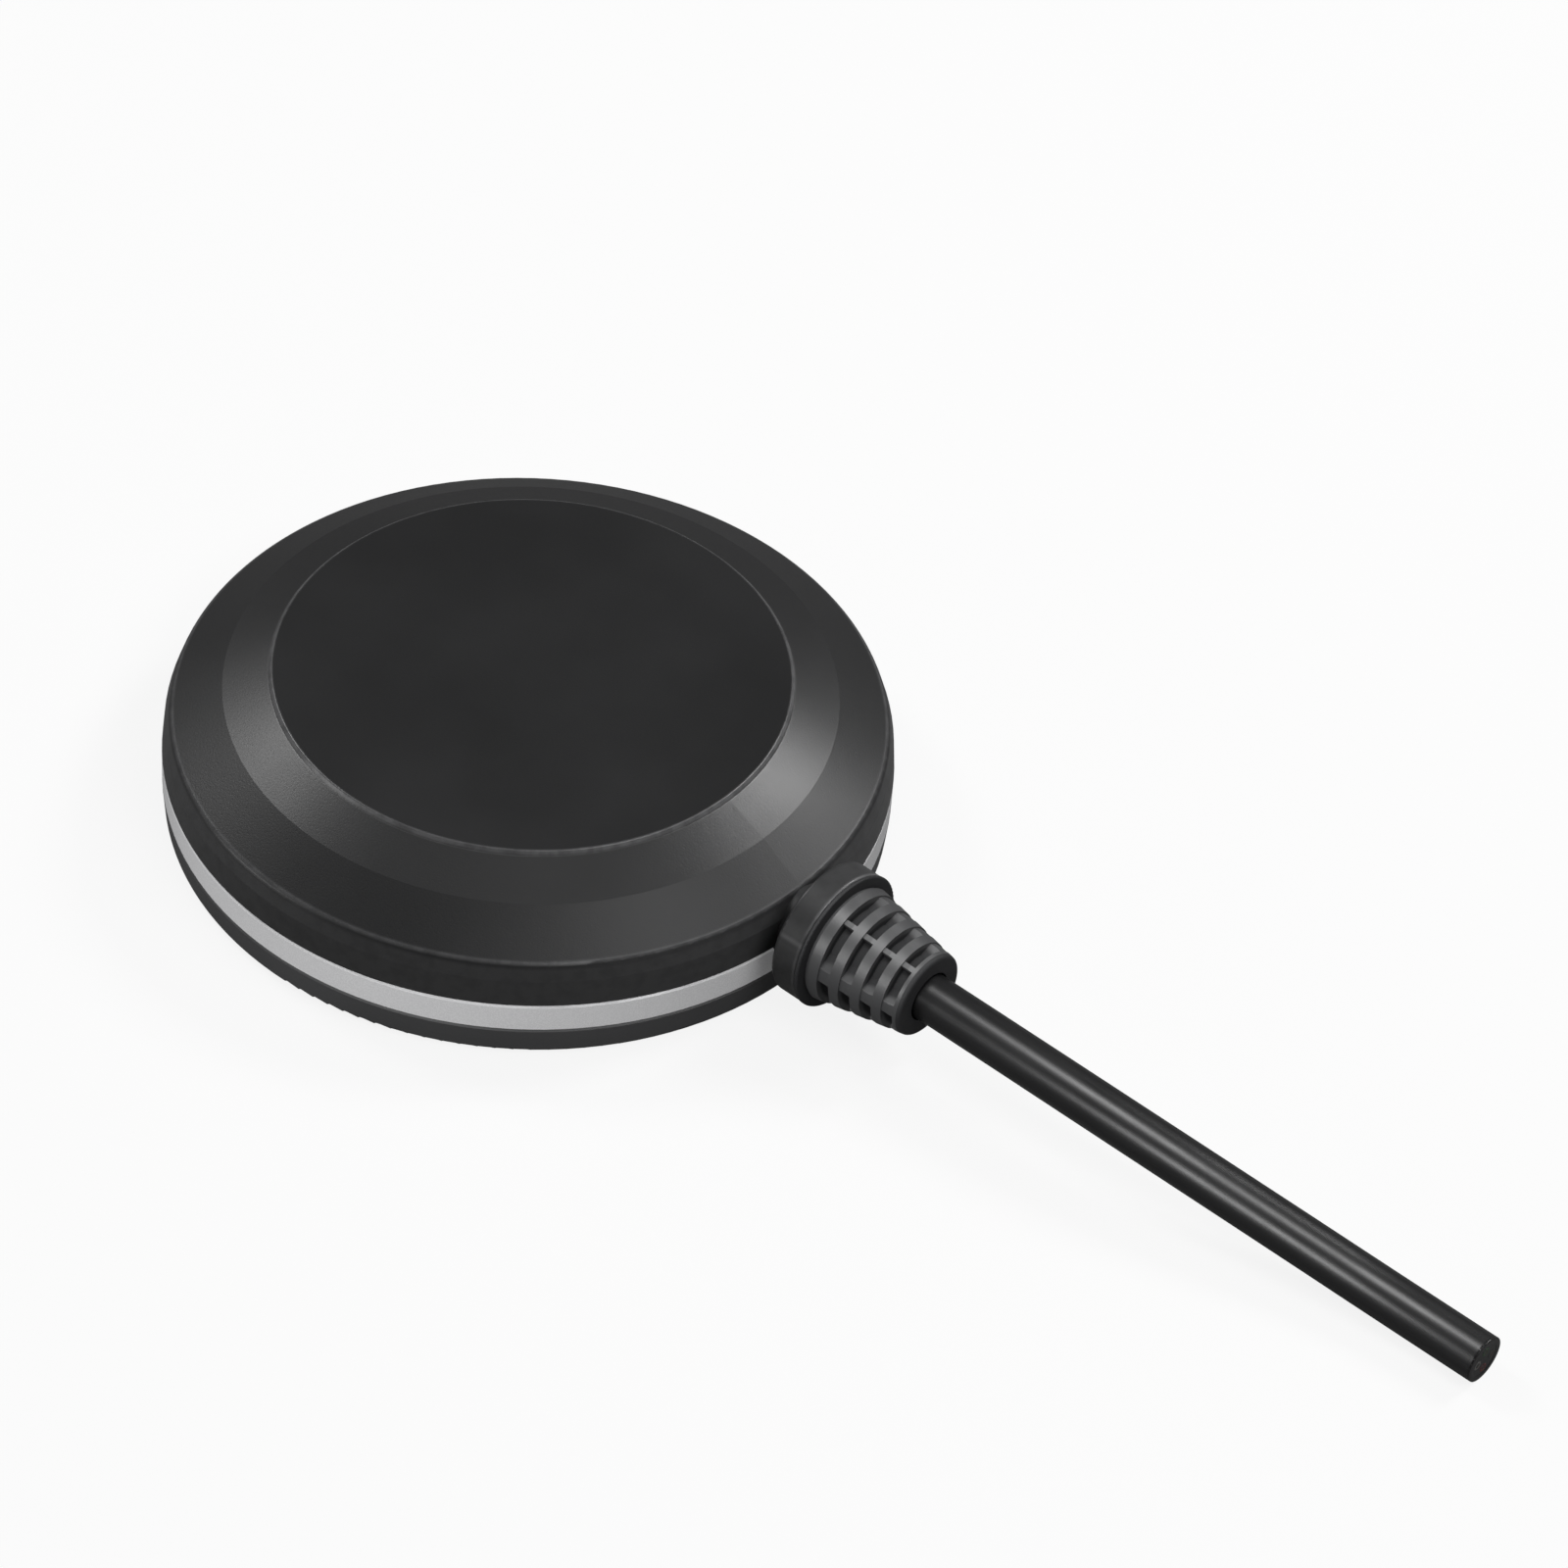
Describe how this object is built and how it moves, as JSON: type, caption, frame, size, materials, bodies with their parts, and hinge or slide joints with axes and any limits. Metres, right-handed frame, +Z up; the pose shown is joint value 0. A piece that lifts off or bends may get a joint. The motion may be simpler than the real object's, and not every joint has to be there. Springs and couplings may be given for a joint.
{
  "type": "gnss receiver module",
  "caption": "Low round satellite receiver: black bevelled cover, silver band, black base with rubber pad and magnet, and a slotted strain relief with a cable.",
  "frame": {"origin": "centre of the flat underside, on the foot pad's lower face", "axes": "+Z up out of the flat disc, +X along the cable where it leaves the housing"},
  "size_m": [0.1256, 0.06, 0.0142],
  "materials": {
    "cover_plastic": "fine satin black moulding",
    "silver_trim": "satin silver paint on plastic",
    "base_plastic": "fine satin black moulding",
    "boot_rubber": "soft black moulding, satin",
    "cable_jacket": "smooth black jacket",
    "gasket_rubber": "matt black",
    "pad_rubber": "matt black with a fine grain",
    "magnet_nickel": "bright nickel plate",
    "screw_steel": "zinc plated",
    "board_laminate": "green solder mask",
    "pad_foam": "white foam",
    "antenna_ceramic": "fired ceramic, pale",
    "electrode_silver": "fired silver, satin",
    "pin_tin": "tinned",
    "can_tin": "tinned sheet",
    "chip_mould": "black moulding compound",
    "lid_metal": "metal lid",
    "cell_steel": "stainless steel",
    "capacitor_ceramic": "brown ceramic with tinned ends",
    "header_nylon": "natural nylon",
    "wire_red": "smooth insulation",
    "wire_black": "smooth insulation",
    "wire_green": "smooth insulation",
    "wire_white": "smooth insulation"
  },
  "bodies": {
    "root": {"top_cover": "cover_plastic", "trim_ring": "silver_trim", "base_shell": "base_plastic", "strain_relief": "boot_rubber", "cable": "cable_jacket", "seal_gasket": "gasket_rubber", "foot_pad": "pad_rubber", "magnet": "magnet_nickel", "base_screws": "screw_steel", "circuit_board": "board_laminate", "board_screws": "screw_steel", "antenna_pad": "pad_foam", "patch_antenna": "antenna_ceramic", "antenna_electrode": "electrode_silver", "antenna_pin": "pin_tin", "shield_can": "can_tin", "receiver_chip": "chip_mould", "reference_oscillator": "lid_metal", "input_filter": "lid_metal", "interface_chip": "chip_mould", "interface_crystal": "lid_metal", "voltage_regulator": "chip_mould", "backup_cell": "cell_steel", "chip_capacitors": "capacitor_ceramic", "wire_header": "header_nylon", "header_pins": "pin_tin", "wire_plug": "header_nylon", "red_wire": "wire_red", "black_wire": "wire_black", "green_wire": "wire_green", "white_wire": "wire_white"}
  },
  "joints": []
}
